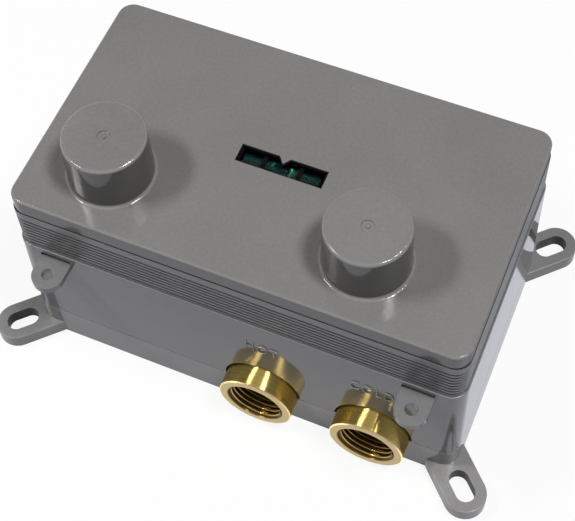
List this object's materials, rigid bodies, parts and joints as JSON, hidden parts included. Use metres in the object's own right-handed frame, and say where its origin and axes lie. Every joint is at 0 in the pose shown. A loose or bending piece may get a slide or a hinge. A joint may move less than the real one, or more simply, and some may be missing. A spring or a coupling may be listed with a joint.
{
  "type": "concealed shower valve with temperature control",
  "caption": "Boxed shower valve for building into a wall: plastic case with capped lid and spirit level, threaded brass pipe sockets, temperature cartridge and outlet selector.",
  "frame": {"origin": "middle of the tray's flat back face, which lies against the wall", "axes": "+Z out of the wall through the cover, +X along the inlet edge, +Y towards the outlet edge"},
  "size_m": [0.1902, 0.1206, 0.1051],
  "materials": {
    "case_plastic": "moulded, satin",
    "cover_plastic": "moulded, satin",
    "holder_plastic": "moulded",
    "vial_clear": "clear",
    "vial_fluid": "clear liquid",
    "body_brass": "cast and machined",
    "socket_brass": "turned and polished",
    "spindle_brass": "turned",
    "element_copper": "turned copper",
    "seal_rubber": "moulded",
    "cartridge_plastic": "moulded",
    "disc_ceramic": "lapped",
    "spring_steel": "drawn wire",
    "filter_steel": "perforated",
    "screw_steel": "zinc plated"
  },
  "bodies": {
    "case": {"rear_tray": "case_plastic", "case_frame": "case_plastic", "valve_body": "body_brass", "regulator_bonnet": "body_brass", "diverter_bonnet": "body_brass", "hot_inlet_socket": "socket_brass", "cold_inlet_socket": "socket_brass", "outlet_socket_left": "socket_brass", "outlet_socket_right": "socket_brass", "hot_inlet_seal": "seal_rubber", "cold_inlet_seal": "seal_rubber", "outlet_seal_left": "seal_rubber", "outlet_seal_right": "seal_rubber", "sleeve_o_rings": "seal_rubber", "diverter_gasket": "seal_rubber", "regulator_sleeve": "cartridge_plastic", "diverter_housing": "cartridge_plastic", "hot_check_housing": "cartridge_plastic", "cold_check_housing": "cartridge_plastic", "fixed_disc": "disc_ceramic", "return_spring": "spring_steel", "hot_check_spring": "spring_steel", "cold_check_spring": "spring_steel", "hot_filter": "filter_steel", "cold_filter": "filter_steel", "body_screws": "screw_steel", "frame_screws": "screw_steel"},
    "cover": {"cover": "cover_plastic", "vial_holder": "holder_plastic", "level_vial": "vial_clear", "vial_liquid": "vial_fluid"},
    "regulator_spindle": {"regulator_spindle": "spindle_brass", "regulator_spindle_seal": "seal_rubber"},
    "regulator_slide": {"adjuster_nut": "body_brass", "wax_element": "element_copper", "regulator_spool": "cartridge_plastic"},
    "diverter_spindle": {"diverter_spindle": "spindle_brass", "diverter_spindle_seal": "seal_rubber", "turning_disc": "disc_ceramic"},
    "hot_poppet": {"hot_check_poppet": "cartridge_plastic"},
    "cold_poppet": {"cold_check_poppet": "cartridge_plastic"}
  },
  "joints": [
    {"name": "cover_lift", "type": "slide", "parent": "case", "child": "cover", "axis": [0, 0, 1], "range_m": [0, 0.06]},
    {"name": "temperature_turn", "type": "hinge", "parent": "case", "child": "regulator_spindle", "pos_m": [0.0386, -0.0222, 0.0755], "axis": [0, 0, 1], "range_deg": [-150, 150]},
    {"name": "regulator_shift", "type": "slide", "parent": "case", "child": "regulator_slide", "axis": [0, 0, 1], "range_m": [-0.00075, 0.00075], "deforming": ["return_spring"]},
    {"name": "outlet_turn", "type": "hinge", "parent": "case", "child": "diverter_spindle", "pos_m": [-0.052, -0.0222, 0.0755], "axis": [0, 0, 1], "range_deg": [-90, 90]},
    {"name": "hot_check_open", "type": "slide", "parent": "case", "child": "hot_poppet", "axis": [0, 1, 0], "range_m": [0, 0.002], "stiffness_N_per_m": 200, "springref_m": -0.003, "deforming": ["hot_check_spring"]},
    {"name": "cold_check_open", "type": "slide", "parent": "case", "child": "cold_poppet", "axis": [0, 1, 0], "range_m": [0, 0.002], "stiffness_N_per_m": 200, "springref_m": -0.003, "deforming": ["cold_check_spring"]}
  ],
  "couplings": [
    {"joint": "regulator_shift", "follows": "temperature_turn", "m_per_rad": 0.0002785}
  ]
}
